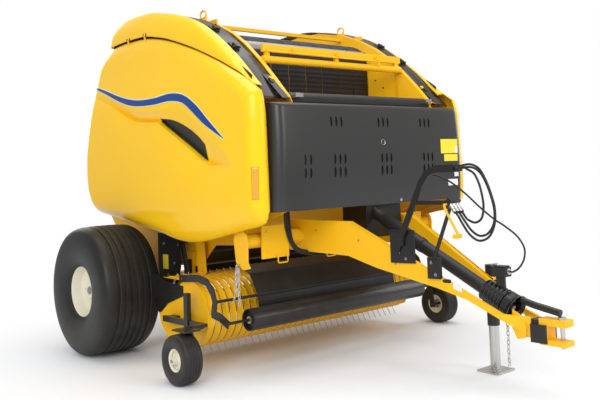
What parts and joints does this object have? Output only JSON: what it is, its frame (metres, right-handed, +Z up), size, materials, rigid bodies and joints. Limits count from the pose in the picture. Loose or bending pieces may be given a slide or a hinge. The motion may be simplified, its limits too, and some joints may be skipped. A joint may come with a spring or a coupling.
{
  "type": "round baler",
  "caption": "Towed round baler with a belt chamber, lifting tailgate, gull-wing side shields, tined pick-up with wind guard, V tongue and parking jack.",
  "frame": {"origin": "middle of the length and width, on the ground", "axes": "+Z up, -Y towards the hitch, +X towards the machine's left-hand side"},
  "size_m": [3.142, 5.06, 2.9909],
  "materials": {
    "yellow_frame": "semi-gloss yellow paint",
    "yellow_shield": "glossy yellow moulding with a blue stripe",
    "dark_panel": "dark grey moulding",
    "black_steel": "satin black paint",
    "belt_rubber": "woven-backed rubber belt",
    "tyre": "black tyre",
    "rim": "ivory paint",
    "steel": "bare steel",
    "lens": "red and orange lens"
  },
  "bodies": {
    "chassis": {"chamber_wall_right": "yellow_frame", "chamber_wall_left": "yellow_frame", "chamber_belts": "belt_rubber", "starter_roller": "black_steel", "floor_roller": "black_steel", "top_beam": "yellow_frame", "front_trough": "black_steel", "arch_cover_right": "dark_panel", "arch_cover_left": "dark_panel", "upper_cover_right": "yellow_shield", "upper_cover_left": "yellow_shield", "front_hood": "dark_panel", "axle_beam": "yellow_frame", "tongue": "yellow_frame", "cross_tube": "yellow_frame", "hitch_clevis": "yellow_frame", "hitch_pin": "steel", "hitch_block": "black_steel", "jack_tube": "black_steel", "gearbox": "black_steel", "pto_tube": "black_steel", "pto_bell": "black_steel", "lift_bracket_right": "yellow_frame", "lift_bracket_left": "yellow_frame", "hose_bracket": "black_steel", "crank_handle": "yellow_frame", "hose_right": "black_steel", "hose_middle": "black_steel", "hose_left": "black_steel", "cable": "black_steel", "drive_plate_right": "black_steel", "drive_plate_left": "black_steel"},
    "wheel_right": {"main_tyre_right": "tyre", "main_rim_right": "rim"},
    "wheel_left": {"main_tyre_left": "tyre", "main_rim_left": "rim"},
    "tailgate": {"tailgate_belts": "belt_rubber", "tail_lamp_right": "lens", "tail_lamp_left": "lens", "tailgate_frame": "yellow_frame"},
    "shield_right": {"side_shield_right": "yellow_shield"},
    "shield_left": {"side_shield_left": "yellow_shield"},
    "pickup": {"pickup_frame": "yellow_frame", "stripper_bands": "yellow_frame", "gauge_arm_right": "black_steel", "gauge_arm_left": "black_steel"},
    "reel": {"tine_reel": "steel"},
    "wind_guard": {"wind_guard": "black_steel"},
    "guard_roller": {"guard_roller": "black_steel"},
    "gauge_wheel_right": {"gauge_tyre_right": "tyre", "gauge_rim_right": "rim"},
    "gauge_wheel_left": {"gauge_tyre_left": "tyre", "gauge_rim_left": "rim"},
    "ram_right": {"ram_barrel_right": "black_steel"},
    "ram_left": {"ram_barrel_left": "black_steel"},
    "ram_rod_right": {"ram_rod_right": "steel"},
    "ram_rod_left": {"ram_rod_left": "steel"},
    "jack_leg": {"jack_leg": "steel"}
  },
  "joints": [
    {"name": "wheel_right_spin", "type": "hinge", "parent": "chassis", "child": "wheel_right", "pos_m": [-1.301, 1.33, 0.555], "axis": [1, 0, 0], "continuous": true},
    {"name": "wheel_left_spin", "type": "hinge", "parent": "chassis", "child": "wheel_left", "pos_m": [1.301, 1.33, 0.555], "axis": [1, 0, 0], "continuous": true},
    {"name": "tailgate_lift", "type": "hinge", "parent": "chassis", "child": "tailgate", "pos_m": [0, 1.03, 2.68], "axis": [1, 0, 0], "range_deg": [0, 58]},
    {"name": "shield_right_lift", "type": "hinge", "parent": "chassis", "child": "shield_right", "pos_m": [-1.091, 1.33, 2.764], "axis": [0, 1, 0], "range_deg": [0, 85]},
    {"name": "shield_left_lift", "type": "hinge", "parent": "chassis", "child": "shield_left", "pos_m": [1.091, 1.33, 2.764], "axis": [0, -1, 0], "range_deg": [0, 85]},
    {"name": "pickup_lift", "type": "hinge", "parent": "chassis", "child": "pickup", "pos_m": [0, 0.73, 0.64], "axis": [-1, 0, 0], "range_deg": [0, 15]},
    {"name": "reel_spin", "type": "hinge", "parent": "pickup", "child": "reel", "pos_m": [0, 0.19, 0.425], "axis": [1, 0, 0], "continuous": true},
    {"name": "wind_guard_lift", "type": "hinge", "parent": "pickup", "child": "wind_guard", "pos_m": [0, 0.27, 0.7], "axis": [-1, 0, 0], "range_deg": [0, 8]},
    {"name": "guard_roller_spin", "type": "hinge", "parent": "wind_guard", "child": "guard_roller", "pos_m": [0, -0.345, 0.41], "axis": [1, 0, 0], "continuous": true},
    {"name": "gauge_wheel_right_spin", "type": "hinge", "parent": "pickup", "child": "gauge_wheel_right", "pos_m": [-1.447, -0.178, 0.184], "axis": [1, 0, 0], "continuous": true},
    {"name": "gauge_wheel_left_spin", "type": "hinge", "parent": "pickup", "child": "gauge_wheel_left", "pos_m": [1.447, -0.178, 0.184], "axis": [1, 0, 0], "continuous": true},
    {"name": "ram_right_swing", "type": "hinge", "parent": "chassis", "child": "ram_right", "pos_m": [-0.875, 0.71, 1.5], "axis": [1, 0, 0], "range_deg": [0, 20]},
    {"name": "ram_left_swing", "type": "hinge", "parent": "chassis", "child": "ram_left", "pos_m": [0.875, 0.71, 1.5], "axis": [1, 0, 0], "range_deg": [0, 20]},
    {"name": "ram_right_slide", "type": "slide", "parent": "ram_right", "child": "ram_rod_right", "axis": [0, 0.875, 0.4841], "range_m": [0, 0.76]},
    {"name": "ram_left_slide", "type": "slide", "parent": "ram_left", "child": "ram_rod_left", "axis": [0, 0.875, 0.4841], "range_m": [0, 0.76]},
    {"name": "jack_slide", "type": "slide", "parent": "chassis", "child": "jack_leg", "axis": [0, 0, 1], "range_m": [0, 0.3]}
  ],
  "couplings": [
    {"joint": "ram_right_swing", "follows": "tailgate_lift", "ratio": 0.3336},
    {"joint": "ram_left_swing", "follows": "tailgate_lift", "ratio": 0.3336},
    {"joint": "ram_right_slide", "follows": "tailgate_lift", "m_per_rad": 0.733},
    {"joint": "ram_left_slide", "follows": "tailgate_lift", "m_per_rad": 0.733}
  ]
}
